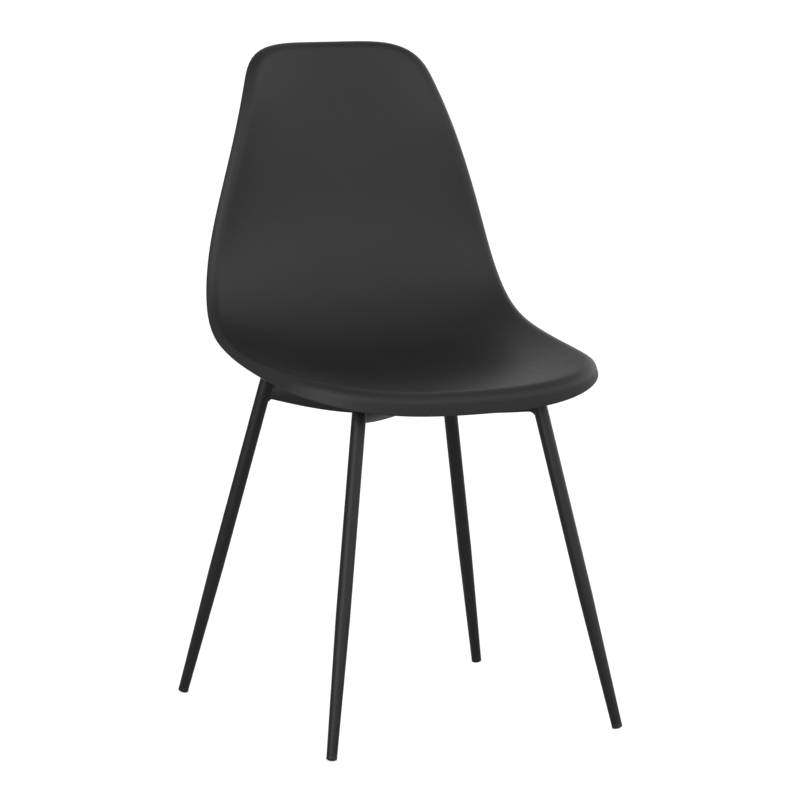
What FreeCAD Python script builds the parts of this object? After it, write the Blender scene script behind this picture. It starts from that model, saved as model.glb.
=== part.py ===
import FreeCAD, Part
import math
import os
from FreeCAD import Vector

# Moulded plastic shell chair on a welded frame of four splayed tube legs.
# Millimetres. Z is up and the floor is z = 0. The sitter faces -Y. The origin
# lies on the floor, midway between the feet. Left and right are as seen from
# the front, so left is -X.

# Shell skin that the sitter touches. Each list runs from the top of the back
# to the front of the seat and holds the pull points of one smooth curve.
seat_height = 435
centre_depth = [206, 199, 187, 178, 127, 31, -62, -153, -197]
centre_rise = [394, 338, 249, 148, 34, 3, -1, 3, 0]
edge_half_width = [100, 123, 155, 183, 200, 206, 205, 193, 171]
edge_depth = [195, 165, 150, 148, 117, 35, -56, -136, -214]
edge_rise = [402, 336, 240, 146, 61, 36, 25, 21, 10]
hollow_power = [2.3, 2.2, 2.3, 2.1, 2.1, 2.5, 2.5, 2.5, 2.6]

# Rounded corners of the shell's outline, as lengths along the edge
top_corner_length = 58
top_corner_power = 3.6
front_corner_length = 106
front_corner_power = 2.2

# Wall and rolled rim: outer radius, angle turned and straight skirt, with
# pull points from the top of the back to the front of the seat
shell_wall = 4.5
rim_radius = [13, 12, 12, 17, 14]
rim_turn_degrees = [84, 85, 82, 74, 92]
rim_skirt = [2, 2, 0.5, 0, 14]

# Legs: where each axis meets the floor and the top of the cross plates
front_foot_half_span = 195
front_foot_depth = -216
rear_foot_half_span = 214
rear_foot_depth = 216
front_joint_half_span = 122
front_joint_depth = -141
rear_joint_half_span = 128.5
rear_joint_depth = 133
leg_diameter = 17.8
leg_foot_diameter = 13.2
leg_taper_length = 165
leg_tube_wall = 1.5
leg_above_plate = 6

# Plastic parts that close the tube ends
glide_height = 7
glide_stem_length = 18
glide_dome_radius = 12
glide_flat_cut = 0.4
cap_flange_height = 2
cap_stem_length = 12
plug_clearance = 0.1

# Cross plates, upright flat bars that halve into each other where they cross.
# The depths are pull points of the lower edge, from the front leg to the rear.
plate_thickness = 5
plate_depths = [15, 22, 23, 29, 29, 17]
plate_above_tab = 2
plate_toe_length = 7
plate_toe_height = 3.5
weld_gap = 0.05
halving_depth = 13
halving_clearance = 0.2

# Tabs on the plates that carry the shell
tab_thickness = 4
tab_radius = 12
tab_hole_diameter = 7
tab_offset = 15
front_tab_reach = 96
rear_tab_reach = 84

# Shell fastening at each tab: boss, insert, pad, washers and screw
boss_height = 29
boss_diameter = 20
boss_cover = 1.2
boss_post_length = 60
insert_diameter = 9
insert_length = 9
insert_clearance = 0.05
insert_groove_depth = 0.6
insert_groove_width = 1.5
insert_tip_gap = 0.8
pad_diameter = 23
pad_thickness = 3
flat_washer_diameter = 12.5
flat_washer_thickness = 1.6
spring_washer_diameter = 11
spring_washer_thickness = 1.8
spring_washer_split = 1.2
screw_diameter = 6
screw_head_diameter = 11
screw_head_height = 4
screw_head_chamfer = 0.8
screw_socket_width = 4
screw_socket_depth = 2.2
screw_length = 16
screw_clearance = 0.1

# Rows of points that the shell's surface patches run through, and the centre
# panel's limits as shares of the skin's length and half width
across_count = 13
along_count = 25
band_count = 5
rim_count = 7
corner_step_count = 60
height_step_count = 40
panel_start_share = 0.13
panel_end_share = 0.87
panel_side_share = 0.6
seat_start_share = 0.5

UP = Vector(0, 0, 1)
SIDES = {"left": -1, "right": 1}
ENDS = ("front", "rear")


def pull_curve(points):
    curve = Part.BSplineCurve()
    curve.buildFromPoles([Vector(*point) for point in points], False, 3)
    return curve


centre_points = [(0, depth, seat_height + rise) for depth, rise in zip(centre_depth, centre_rise)]
edge_points = [
    (width, depth, seat_height + rise)
    for width, depth, rise in zip(edge_half_width, edge_depth, edge_rise)
]
centre_curve = pull_curve(centre_points)
edge_curve = pull_curve(edge_points)
hollow_curve = pull_curve([(power, 0, 0) for power in hollow_power])
rim_curve = pull_curve(list(zip(rim_radius, rim_turn_degrees, rim_skirt)))


def skin_point(along, across):
    """Point of the upper skin: along 0 at the top to 1 at the front, across -1 to 1."""
    centre = centre_curve.value(along)
    edge = edge_curve.value(along)
    share = abs(across) ** hollow_curve.value(along).x
    depth = centre.y + (edge.y - centre.y) * share
    height = centre.z + (edge.z - centre.z) * share
    return Vector(across * edge.x, depth, height)


def skin_normal(along, across):
    """Unit normal of the upper skin, towards the sitter."""
    step = 0.001
    down = skin_point(min(along + step, 1), across) - skin_point(max(along - step, 0), across)
    side = skin_point(along, across + step) - skin_point(along, across - step)
    return down.cross(side).normalize()


def skin_height(x, y):
    """Height of the upper skin of the seat at a place in plan."""
    rear_limit = seat_start_share
    front_limit = 1
    for _ in range(height_step_count):
        along = (rear_limit + front_limit) / 2
        point = skin_point(along, x / edge_curve.value(along).x)
        if point.y > y:
            rear_limit = along
        else:
            front_limit = along
    return point.z


def corner_places(length, power, from_front):
    """Places on one rounded corner, from the middle of the end to the straight edge."""
    full = edge_curve.length()
    places = []
    for number in range(corner_step_count + 1):
        angle = math.pi / 2 * number / corner_step_count
        across = math.sin(angle) ** (2 / power)
        run = length * (1 - max(math.cos(angle), 0) ** (2 / power))
        distance = full - run if from_front else run
        places.append((edge_curve.parameterAtDistance(distance, 0), across))
    return places


def spaced(places, count):
    """Places at equal distances over the skin along a list of places."""
    travelled = [0]
    for before, after in zip(places, places[1:]):
        step = skin_point(*after) - skin_point(*before)
        travelled.append(travelled[-1] + step.Length)
    chosen = []
    for number in range(count):
        target = travelled[-1] * number / (count - 1)
        span = 0
        while span < len(places) - 2 and travelled[span + 1] < target:
            span += 1
        share = (target - travelled[span]) / (travelled[span + 1] - travelled[span])
        start, end = places[span], places[span + 1]
        chosen.append(tuple(a + (b - a) * share for a, b in zip(start, end)))
    return chosen


def mirrored(places):
    return [(along, -across) for along, across in places]


def outline_pieces():
    """The shell's outline as top, right, front and left pieces, as places on the skin."""
    top = corner_places(top_corner_length, top_corner_power, False)
    front = corner_places(front_corner_length, front_corner_power, True)
    half_top = len(top) // 2
    half_front = len(front) // 2
    straight = []
    for number in range(1, corner_step_count):
        share = number / corner_step_count
        straight.append((top[-1][0] + (front[-1][0] - top[-1][0]) * share, 1))
    over_top = mirrored(top[half_top:0:-1]) + top[: half_top + 1]
    over_front = mirrored(front[half_front:0:-1]) + front[: half_front + 1]
    down_right = top[half_top:] + straight + front[: half_front - 1 : -1]
    right = spaced(down_right, along_count)
    return {
        "top": spaced(over_top, across_count),
        "right": right,
        "front": spaced(over_front, across_count),
        "left": mirrored(right),
    }


def panel_piece(name):
    """One edge of the rectangular centre panel, as places on the skin."""
    count = across_count if name in ("top", "front") else along_count
    shares = [number / (count - 1) for number in range(count)]
    if name == "top":
        return [(panel_start_share, panel_side_share * (2 * share - 1)) for share in shares]
    if name == "front":
        return [(panel_end_share, panel_side_share * (2 * share - 1)) for share in shares]
    across = panel_side_share if name == "right" else -panel_side_share
    run = panel_end_share - panel_start_share
    return [(panel_start_share + run * share, across) for share in shares]


def interpolated(points, shares):
    curve = Part.BSplineCurve()
    curve.interpolate(Points=points, Parameters=shares)
    return curve


def patch(rows):
    """Smooth surface through a grid of points."""
    row_shares = [number / (len(rows) - 1) for number in range(len(rows))]
    column_shares = [number / (len(rows[0]) - 1) for number in range(len(rows[0]))]
    row_curves = [interpolated(row, column_shares) for row in rows]
    columns = zip(*[curve.getPoles() for curve in row_curves])
    column_curves = [interpolated(list(column), row_shares) for column in columns]
    poles = [list(line) for line in zip(*[curve.getPoles() for curve in column_curves])]
    surface = Part.BSplineSurface()
    surface.buildFromPolesMultsKnots(
        poles,
        column_curves[0].getMultiplicities(),
        row_curves[0].getMultiplicities(),
        column_curves[0].getKnots(),
        row_curves[0].getKnots(),
        False,
        False,
        column_curves[0].Degree,
        row_curves[0].Degree,
    )
    return surface.toShape()


def outward(places, number):
    """Direction that leaves the shell at a place of the outline, square to its edge."""
    before = skin_point(*places[max(number - 1, 0)])
    after = skin_point(*places[min(number + 1, len(places) - 1)])
    normal = skin_normal(*places[number])
    direction = (after - before).cross(normal).normalize()
    centre = skin_point(seat_start_share, 0)
    if direction.dot(skin_point(*places[number]) - centre) < 0:
        direction = -direction
    return direction


def rim_sections(pieces):
    """Edge point, normal, outward direction and rim sizes at each place of the outline."""
    sections = {}
    for name, places in pieces.items():
        sections[name] = []
        for number, place in enumerate(places):
            sizes = rim_curve.value(place[0])
            section = (skin_point(*place), skin_normal(*place), outward(places, number), sizes)
            sections[name].append(section)
    average_corners(sections)
    return sections


def average_corners(sections):
    """Gives the two pieces that meet at a corner the same outward direction."""
    meetings = (
        ("top", 0, "left", 0),
        ("top", -1, "right", 0),
        ("front", 0, "left", -1),
        ("front", -1, "right", -1),
    )
    for first, first_end, second, second_end in meetings:
        point, normal, one, sizes = sections[first][first_end]
        other = sections[second][second_end][2]
        shared = (one + other).normalize()
        sections[first][first_end] = (point, normal, shared, sizes)
        sections[second][second_end] = (point, normal, shared, sizes)


def rolled_point(section, turned, inset):
    """Point of the rolled rim after part of its turn, at a depth below the skin."""
    point, normal, out, sizes = section
    angle = math.radians(sizes.y * turned)
    centre = point - normal * sizes.x
    reach = sizes.x - inset
    return centre + (normal * math.cos(angle) + out * math.sin(angle)) * reach


def skirt_point(section, inset):
    """Point at the free end of the rim's skirt."""
    point, normal, out, sizes = section
    angle = math.radians(sizes.y)
    down = out * math.cos(angle) - normal * math.sin(angle)
    return rolled_point(section, 1, inset) + down * sizes.z


def sunk_point(place, inset):
    return skin_point(*place) - skin_normal(*place) * inset


def skin_faces(pieces, sections, inset):
    """Faces of one skin of the shell, a depth below the sitter's side."""
    right = panel_piece("right")
    top = panel_piece("top")
    panel = [[sunk_point((along, across), inset) for _, across in top] for along, _ in right]
    faces = [patch(panel)]
    for name, places in pieces.items():
        inner = panel_piece(name)
        rows = []
        for number in range(band_count):
            share = number / (band_count - 1)
            blended = [
                tuple(a + (b - a) * share for a, b in zip(start, end))
                for start, end in zip(inner, places)
            ]
            rows.append([sunk_point(place, inset) for place in blended])
        faces.append(patch(rows))
        rim = []
        for number in range(rim_count):
            turned = number / (rim_count - 1)
            rim.append([rolled_point(section, turned, inset) for section in sections[name]])
        faces.append(patch(rim))
        skirt = [skirt_point(section, inset) for section in sections[name]]
        faces.append(patch([rim[-1], skirt]))
    return faces


def rim_end_faces(sections):
    """Narrow faces that close the wall at the free end of the skirt."""
    faces = []
    for name in sections:
        outer = [skirt_point(section, 0) for section in sections[name]]
        inner = [skirt_point(section, shell_wall) for section in sections[name]]
        faces.append(patch([outer, inner]))
    return faces


def shell_body():
    pieces = outline_pieces()
    sections = rim_sections(pieces)
    faces = skin_faces(pieces, sections, 0)
    faces += skin_faces(pieces, sections, shell_wall)
    faces += rim_end_faces(sections)
    skin = Part.Shell(faces)
    skin.sewShape()
    body = Part.Solid(skin)
    if body.Volume < 0:
        body.reverse()
    return body


def bar(start, end, radius):
    axis = end - start
    return Part.makeCylinder(radius, axis.Length, start, axis)


def ring(centre, outer_diameter, inner_diameter, height):
    outer = Part.makeCylinder(outer_diameter / 2, height, centre)
    return outer.cut(Part.makeCylinder(inner_diameter / 2, height, centre))


def spun(profile, base, direction):
    """Solid of revolution from (radius, distance) points about an axis in space."""
    points = [Vector(radius, 0, distance) for radius, distance in profile]
    wire = Part.makePolygon(points + [points[0]])
    solid = Part.Face(wire).revolve(Vector(0, 0, 0), UP, 360)
    solid.Placement = FreeCAD.Placement(base, FreeCAD.Rotation(UP, direction))
    return solid


def foot_place(end, side):
    half_span = front_foot_half_span if end == "front" else rear_foot_half_span
    depth = front_foot_depth if end == "front" else rear_foot_depth
    return Vector(SIDES[side] * half_span, depth, 0)


def joint_place(end, side, height):
    half_span = front_joint_half_span if end == "front" else rear_joint_half_span
    depth = front_joint_depth if end == "front" else rear_joint_depth
    return Vector(SIDES[side] * half_span, depth, height)


def arm_direction(end, side):
    """Level direction of a plate from the crossing towards the leg it ends on."""
    other_end = "rear" if end == "front" else "front"
    other_side = "right" if side == "left" else "left"
    span = joint_place(end, side, 0) - joint_place(other_end, other_side, 0)
    return span.normalize()


def crossing():
    """Place in plan where the two plates cross, on the chair's middle plane."""
    front = joint_place("front", "left", 0)
    along = arm_direction("front", "left")
    return front - along * (front.x / along.x)


def tab_place(end, side):
    """Place in plan of the screw at one tab, beside its plate."""
    reach = front_tab_reach if end == "front" else rear_tab_reach
    along = arm_direction(end, side)
    return crossing() + along * reach + beside_plate(end, side) * tab_offset


def beside_plate(end, side):
    """Level direction square to a plate, away from the chair's middle plane."""
    beside = arm_direction(end, side).cross(UP)
    return beside if beside.x * SIDES[side] > 0 else -beside


CORNERS = [(end, side) for end in ENDS for side in SIDES]
lowest_skin = min(skin_height(tab_place(*corner).x, tab_place(*corner).y) for corner in CORNERS)
boss_face = lowest_skin - boss_height
tab_top = boss_face - pad_thickness
tab_base = tab_top - tab_thickness
plate_top = tab_top + plate_above_tab
flat_washer_base = tab_base - flat_washer_thickness
spring_washer_base = flat_washer_base - spring_washer_thickness


def leg_direction(end, side):
    return (joint_place(end, side, plate_top) - foot_place(end, side)).normalize()


def leg_length(end, side):
    """Distance along the leg's axis from the floor to the top of the tube."""
    direction = leg_direction(end, side)
    return (plate_top + leg_above_plate) / direction.z


def leg_tube(end, side):
    top = leg_length(end, side)
    radius = leg_diameter / 2
    foot_radius = leg_foot_diameter / 2
    profile = [
        (foot_radius, glide_height),
        (radius, glide_height + leg_taper_length),
        (radius, top),
        (radius - leg_tube_wall, top),
        (radius - leg_tube_wall, glide_height + leg_taper_length),
        (foot_radius - leg_tube_wall, glide_height),
    ]
    return spun(profile, foot_place(end, side), leg_direction(end, side))


def leg_cap(end, side):
    top = leg_length(end, side)
    radius = leg_diameter / 2
    stem_radius = radius - leg_tube_wall - plug_clearance
    profile = [
        (0, top - cap_stem_length),
        (stem_radius, top - cap_stem_length),
        (stem_radius, top),
        (radius, top),
        (radius, top + cap_flange_height),
        (0, top + cap_flange_height),
    ]
    return spun(profile, foot_place(end, side), leg_direction(end, side))


def dome_centre(end, side):
    """Centre of the ball that rounds a glide, set so that it just dips below the floor."""
    direction = leg_direction(end, side)
    distance = (glide_dome_radius - glide_flat_cut) / direction.z
    return foot_place(end, side) + direction * distance


def glide(end, side):
    foot = foot_place(end, side)
    direction = leg_direction(end, side)
    foot_radius = leg_foot_diameter / 2
    stem_radius = foot_radius - leg_tube_wall - plug_clearance
    tube_end = foot + direction * glide_height
    stem = bar(tube_end, tube_end + direction * glide_stem_length, stem_radius)
    head = bar(foot - direction * foot_radius, tube_end, foot_radius)
    rounded = head.common(Part.makeSphere(glide_dome_radius, dome_centre(end, side)))
    reach = leg_foot_diameter
    corner = foot - Vector(reach, reach, reach)
    floor_block = Part.makeBox(2 * reach, 2 * reach, reach, corner)
    return rounded.cut(floor_block).fuse(stem).removeSplitter()


def leg_lean(end):
    """Distance that a leg's axis moves out along its plate for each unit that it drops."""
    foot = foot_place(end, "right")
    joint = joint_place(end, "right", 0)
    return (foot - joint).dot(arm_direction(end, "right")) / plate_top


def plate_toe(end, reach, depth):
    """Corner between a plate's lower edge and the leg, as distance out from the crossing."""
    lean = leg_lean(end)
    half_width = leg_diameter / 2 * math.sqrt(1 + lean * lean)
    return reach + lean * depth - half_width


def toe_curve(corner, on_edge, on_leg):
    """Hollow curve that eases a plate's lower edge down the side of a leg."""
    ease = 1 - math.sqrt(0.5)
    middle = corner + (on_edge - corner) * ease + (on_leg - corner) * ease
    return Part.Arc(on_edge, middle, on_leg).toShape()


def plate_outline(front_reach, rear_reach):
    """Side view of a cross plate: x from the crossing to the rear leg, y its height."""
    front_level = plate_top - plate_depths[0]
    rear_level = plate_top - plate_depths[-1]
    front_corner = Vector(-plate_toe("front", front_reach, plate_depths[0]), front_level, 0)
    rear_corner = Vector(plate_toe("rear", rear_reach, plate_depths[-1]), rear_level, 0)
    first = front_corner + Vector(plate_toe_length, 0, 0)
    last = rear_corner - Vector(plate_toe_length, 0, 0)
    pulls = []
    for number, depth in enumerate(plate_depths):
        share = number / (len(plate_depths) - 1)
        pulls.append((first.x + (last.x - first.x) * share, plate_top - depth, 0))
    front_toe = front_corner + Vector(-leg_lean("front") * plate_toe_height, -plate_toe_height, 0)
    rear_toe = rear_corner + Vector(leg_lean("rear") * plate_toe_height, -plate_toe_height, 0)
    front_foot = Vector(-front_reach, front_toe.y, 0)
    rear_foot = Vector(rear_reach, rear_toe.y, 0)
    front_top = Vector(-front_reach, plate_top, 0)
    rear_top = Vector(rear_reach, plate_top, 0)
    edges = [
        pull_curve(pulls).toShape(),
        toe_curve(rear_corner, last, rear_toe),
        Part.makeLine(rear_toe, rear_foot),
        Part.makeLine(rear_foot, rear_top),
        Part.makeLine(rear_top, front_top),
        Part.makeLine(front_top, front_foot),
        Part.makeLine(front_foot, front_toe),
        toe_curve(front_corner, first, front_toe),
    ]
    return Part.Wire(edges)


def plate_blank(front_side, thickness):
    """Flat bar from the front leg on one side to the rear leg on the other."""
    rear_side = "right" if front_side == "left" else "left"
    centre = crossing()
    front_reach = (joint_place("front", front_side, 0) - centre).Length
    rear_reach = (joint_place("rear", rear_side, 0) - centre).Length
    face = Part.Face(plate_outline(front_reach, rear_reach))
    bar_solid = face.extrude(Vector(0, 0, thickness))
    bar_solid.translate(Vector(0, 0, -thickness / 2))
    along = arm_direction("rear", rear_side)
    turn = FreeCAD.Rotation(along, UP, along.cross(UP), "XYZ")
    bar_solid.Placement = FreeCAD.Placement(centre, turn).multiply(bar_solid.Placement)
    return bar_solid


def leg_solid(end, side, growth):
    foot = foot_place(end, side)
    direction = leg_direction(end, side)
    top = foot + direction * (leg_length(end, side) + cap_flange_height)
    return bar(foot, top, leg_diameter / 2 + growth)


def cross_plate(front_side):
    rear_side = "right" if front_side == "left" else "left"
    plate = plate_blank(front_side, plate_thickness)
    plate = plate.cut(leg_solid("front", front_side, weld_gap))
    plate = plate.cut(leg_solid("rear", rear_side, weld_gap))
    return plate.cut(halving_slot(front_side, arm_direction("rear", front_side)))


def halving_slot(front_side, along):
    """Slot for the other plate, open at the top of one plate and at the foot of the other."""
    length = 4 * plate_thickness
    width = plate_thickness + 2 * halving_clearance
    height = max(plate_depths)
    slot = Part.makeBox(length, width, height, Vector(-length / 2, -width / 2, 0))
    turn = FreeCAD.Rotation(along, along.cross(-UP), UP, "XYZ")
    base = plate_top - halving_depth - halving_clearance / 2
    if front_side == "right":
        base += halving_clearance - height
    slot.Placement = FreeCAD.Placement(crossing() + UP * base, turn)
    return slot


def mounting_tab(end, side):
    place = tab_place(end, side)
    base = Vector(place.x, place.y, tab_base)
    along = arm_direction(end, side)
    inward = -beside_plate(end, side)
    reach = tab_offset - plate_thickness / 2
    corners = [
        base + along * tab_radius,
        base + along * tab_radius + inward * reach,
        base - along * tab_radius + inward * reach,
        base - along * tab_radius,
    ]
    nose = Part.Arc(corners[3], base - inward * tab_radius, corners[0]).toShape()
    sides = [Part.makeLine(a, b) for a, b in zip(corners, corners[1:])]
    blank = Part.Face(Part.Wire(sides + [nose])).extrude(UP * tab_thickness)
    return blank.cut(Part.makeCylinder(tab_hole_diameter / 2, tab_thickness, base))


def shell_pad(end, side):
    place = tab_place(end, side)
    return ring(Vector(place.x, place.y, tab_top), pad_diameter, tab_hole_diameter, pad_thickness)


def threaded_insert(end, side):
    place = tab_place(end, side)
    base = Vector(place.x, place.y, boss_face)
    bore = screw_diameter + 2 * screw_clearance
    body = ring(base, insert_diameter, bore, insert_length)
    groove_base = base + UP * ((insert_length - insert_groove_width) / 2)
    groove_floor = insert_diameter - 2 * insert_groove_depth
    groove = ring(groove_base, insert_diameter + insert_groove_depth, groove_floor, insert_groove_width)
    return body.cut(groove)


def flat_washer(end, side):
    place = tab_place(end, side)
    base = Vector(place.x, place.y, flat_washer_base)
    bore = screw_diameter + 4 * screw_clearance
    return ring(base, flat_washer_diameter, bore, flat_washer_thickness)


def spring_washer(end, side):
    place = tab_place(end, side)
    base = Vector(place.x, place.y, spring_washer_base)
    bore = screw_diameter + 4 * screw_clearance
    washer = ring(base, spring_washer_diameter, bore, spring_washer_thickness)
    half_split = spring_washer_split / 2
    gap = Part.makeBox(spring_washer_diameter, spring_washer_split, spring_washer_thickness)
    gap.translate(base - Vector(0, half_split, 0))
    return washer.cut(gap)


def screw(end, side):
    place = tab_place(end, side)
    seat = Vector(place.x, place.y, spring_washer_base)
    shank = Part.makeCylinder(screw_diameter / 2, screw_length, seat)
    head = Part.makeCylinder(screw_head_diameter / 2, screw_head_height, seat, -UP)
    head = head.makeChamfer(screw_head_chamfer, [head.Edges[0]])
    base = seat - UP * screw_head_height
    return shank.fuse(head).cut(screw_socket(base))


def screw_socket(base):
    """Six-sided socket for the key, sunk into the screw's head."""
    sides = 6
    corner_radius = screw_socket_width / 2 / math.cos(math.pi / sides)
    corners = []
    for number in range(sides):
        angle = 2 * math.pi * number / sides
        corners.append(base + Vector(math.cos(angle), math.sin(angle), 0) * corner_radius)
    outline = Part.makePolygon(corners + [corners[0]])
    return Part.Face(outline).extrude(UP * screw_socket_depth)


def under_seat():
    """Solid from just below the seat's skin down past the boss faces."""
    rows = []
    for number in range(across_count):
        share = number / (across_count - 1)
        along = seat_start_share + (panel_end_share - seat_start_share) * share
        rows.append([sunk_point((along, across), boss_cover) for _, across in panel_piece("top")])
    return patch(rows).extrude(-UP * seat_height)


def seat_shell():
    shell = shell_body()
    filling = under_seat()
    for corner in CORNERS:
        place = tab_place(*corner)
        base = Vector(place.x, place.y, boss_face)
        post = Part.makeCylinder(boss_diameter / 2, boss_post_length, base)
        shell = shell.fuse(post.common(filling))
    for corner in CORNERS:
        place = tab_place(*corner)
        base = Vector(place.x, place.y, boss_face)
        hole_radius = insert_diameter / 2 + insert_clearance
        shell = shell.cut(Part.makeCylinder(hole_radius, insert_length + insert_tip_gap, base))
    return shell


def group(maker):
    return Part.makeCompound([maker(*corner) for corner in CORNERS])


def save(name, shape):
    shape.exportStep("parts/" + name + ".step")


def main():
    os.makedirs("parts", exist_ok=True)
    save("seat_shell", seat_shell())
    save("cross_plate_from_front_left", cross_plate("left"))
    save("cross_plate_from_front_right", cross_plate("right"))
    for end, side in CORNERS:
        name = end + "_" + side
        save("leg_" + name, leg_tube(end, side))
        save("leg_cap_" + name, leg_cap(end, side))
        save("glide_" + name, glide(end, side))
        save("mounting_tab_" + name, mounting_tab(end, side))
        save("shell_pad_" + name, shell_pad(end, side))
    save("threaded_inserts", group(threaded_insert))
    save("flat_washers", group(flat_washer))
    save("spring_washers", group(spring_washer))
    save("shell_screws", group(screw))


main()
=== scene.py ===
import functools
import math

import bmesh
import bpy
import numpy as np
from mathutils import Matrix, Vector


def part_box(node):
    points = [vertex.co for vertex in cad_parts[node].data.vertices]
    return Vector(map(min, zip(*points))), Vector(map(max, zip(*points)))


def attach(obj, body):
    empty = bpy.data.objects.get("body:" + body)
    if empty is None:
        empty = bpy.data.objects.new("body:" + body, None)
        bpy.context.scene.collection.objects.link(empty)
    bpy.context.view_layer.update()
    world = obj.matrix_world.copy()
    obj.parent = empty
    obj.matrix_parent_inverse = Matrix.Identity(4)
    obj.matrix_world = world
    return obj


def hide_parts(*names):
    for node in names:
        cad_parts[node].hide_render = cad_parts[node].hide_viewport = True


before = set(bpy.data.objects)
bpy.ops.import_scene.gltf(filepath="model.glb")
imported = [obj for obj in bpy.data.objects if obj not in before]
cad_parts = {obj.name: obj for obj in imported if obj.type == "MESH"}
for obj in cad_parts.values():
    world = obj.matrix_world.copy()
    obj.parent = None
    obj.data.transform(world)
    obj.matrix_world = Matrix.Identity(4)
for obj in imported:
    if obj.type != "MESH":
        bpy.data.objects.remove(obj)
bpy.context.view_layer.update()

bl_info = {
    "name": "Moulded shell chair",
    "version": (1, 0, 0),
    "blender": (4, 5, 0),
    "location": "3D View > Sidebar > Shell Chair",
    "description": "Builds a moulded plastic shell chair on a welded frame of tapered tube legs",
    "category": "Add Mesh",
}

# All lengths are metres. Z is up, the floor is z = 0 and the sitter faces -Y.
# Left and right are as seen from the front, so left is -X.

# Shell skin that the sitter touches, as pull points of smooth curves that run
# from the top of the back to the front of the seat
SEAT_HEIGHT = 0.435
CENTRE_DEPTH = (0.206, 0.199, 0.187, 0.178, 0.127, 0.031, -0.062, -0.153, -0.197)
CENTRE_RISE = (0.394, 0.338, 0.249, 0.148, 0.034, 0.003, -0.001, 0.003, 0.000)
EDGE_HALF_WIDTH = (0.100, 0.123, 0.155, 0.183, 0.200, 0.206, 0.205, 0.193, 0.171)
EDGE_DEPTH = (0.195, 0.165, 0.150, 0.148, 0.117, 0.035, -0.056, -0.136, -0.214)
EDGE_RISE = (0.402, 0.336, 0.240, 0.146, 0.061, 0.036, 0.025, 0.021, 0.010)
HOLLOW_POWER = (2.3, 2.2, 2.3, 2.1, 2.1, 2.5, 2.5, 2.5, 2.6)
TOP_CORNER_LENGTH = 0.058
TOP_CORNER_POWER = 3.6
FRONT_CORNER_LENGTH = 0.106
FRONT_CORNER_POWER = 2.2
RIM_RADIUS = (0.013, 0.012, 0.012, 0.017, 0.014)
RIM_TURN = (84, 85, 82, 74, 92)
RIM_SKIRT = (0.002, 0.002, 0.0005, 0, 0.014)
RIM_EDGE_ROUNDING = 0.0005

# Places of the four legs and of the four fixings under the seat
FEET = {"front": (0.195, -0.216), "rear": (0.214, 0.216)}
JOINTS = {"front": (0.122, -0.141), "rear": (0.1285, 0.133)}
SIDES = {"left": -1, "right": 1}
CORNERS = [(end, side) for end in FEET for side in SIDES]
PLATE_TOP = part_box("cross_plate_from_front_left")[1].z
PLATE_THICKNESS = 0.005
HALVING_DEPTH = 0.013
UP = Vector((0, 0, 1))

# Turned and eased parts: sides round a smooth one, the angles in degrees past which
# an edge looks sharp, and the radius of the guide that outlines are turned about
FINE_SIDES = 64
PLAIN_SIDES = 48
TURNED_ANGLE = 40
EASED_ANGLE = 35
GUIDE_RADIUS = 0.001

# Roundings of the tubes' ends and eased edges of the plates and tabs
TUBE_ROUNDING = 0.0003
PLATE_EASING = 0.0005
TAB_EASING = 0.0004

# Plastic parts that close the tube ends
PLUG_CLEARANCE = 0.0001
CAP_STEM_LENGTH = 0.012
CAP_FLANGE_HEIGHT = 0.002
GLIDE_STEM_LENGTH = 0.018
GLIDE_DOME_RADIUS = 0.012
GLIDE_FLAT_CUT = 0.0004
CAP_ROUNDING = 0.0006
GLIDE_ROUNDING = 0.0007

# Welds: how far below the plates' top edges they start and end at the legs, and
# the rows over those edges, each as its distance from the leg and its rise
WELD_TOP = 0.001
WELD_DEPTHS = {"front": 0.0165, "rear": 0.0185}
WELD_ROWS = ((0, 0.0012), (0.0016, 0.0006), (0.0032, 0.0002))
WELD_END_GAP = 0.002
BEAD_SIZES = (0.86, 1.12)
BEAD_PITCH_SHARE = 0.3
TAB_RADIUS = 0.012

# Fixings of the shell at each tab
TAB_HOLE_RADIUS = 0.0035
PAD_RADIUS = 0.0115
PAD_ROUNDING = 0.0005
FLAT_WASHER_RADIUS = 0.00625
SPRING_WASHER_RADIUS = 0.0055
SPRING_WASHER_SPLIT = 0.0012
WASHER_BORE = 0.0032
WASHER_ROUNDING = 0.0002
INSERT_RADIUS = 0.0045
INSERT_BORE = 0.0031
INSERT_GROOVE_SHARE = 0.17
INSERT_GROOVE_DEPTH = 0.0006
INSERT_END_LENGTH = 0.0004
KNURL_DEPTH = 0.00012
KNURL_RIDGES = 24
KNURL_TURN = 900
SCREW_RADIUS = 0.003
THREAD_PITCH = 0.001
THREAD_DEPTH = 0.0005
THREAD_FADES = (0.002, 0.0012)
HEAD_RADIUS = 0.0055
HEAD_ROUNDING = 0.001
HEAD_RIM = (0.0002, 0.0003)
SOCKET_WIDTH = 0.004
SOCKET_DEPTH = 0.0022
SOCKET_LEAD_IN = (0.0004, 0.0003)
SOCKET_CONE = 0.0006

# Screw bosses under the seat
BOSS_RADIUS = 0.01
BOSS_BORE = 0.00455
BOSS_FLARE = 0.0025
BOSS_ROUNDING = 0.0005

# Mesh density of the shell
PANEL_ROWS = 97
PANEL_COLUMNS = 57
BAND_ROWS = 13
ROLL_ROWS = 13
SKIRT_ROWS = 5
CORNER_ROWS = 4
PANEL_SPAN = (0.13, 0.87)
PANEL_HALF_WIDTH = 0.6

# Camera that stands where the photographer's did
CAMERA_CENTRE = (0, 0.0104, 0.42)
CAMERA_AIM = (0.00177, 0.00619, 0.39705)
CAMERA_AZIMUTH = -25.150
CAMERA_ELEVATION = 7.592
CAMERA_ROLL = -0.184
CAMERA_DISTANCE = 4.5
CAMERA_LENS = 160.5

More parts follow.
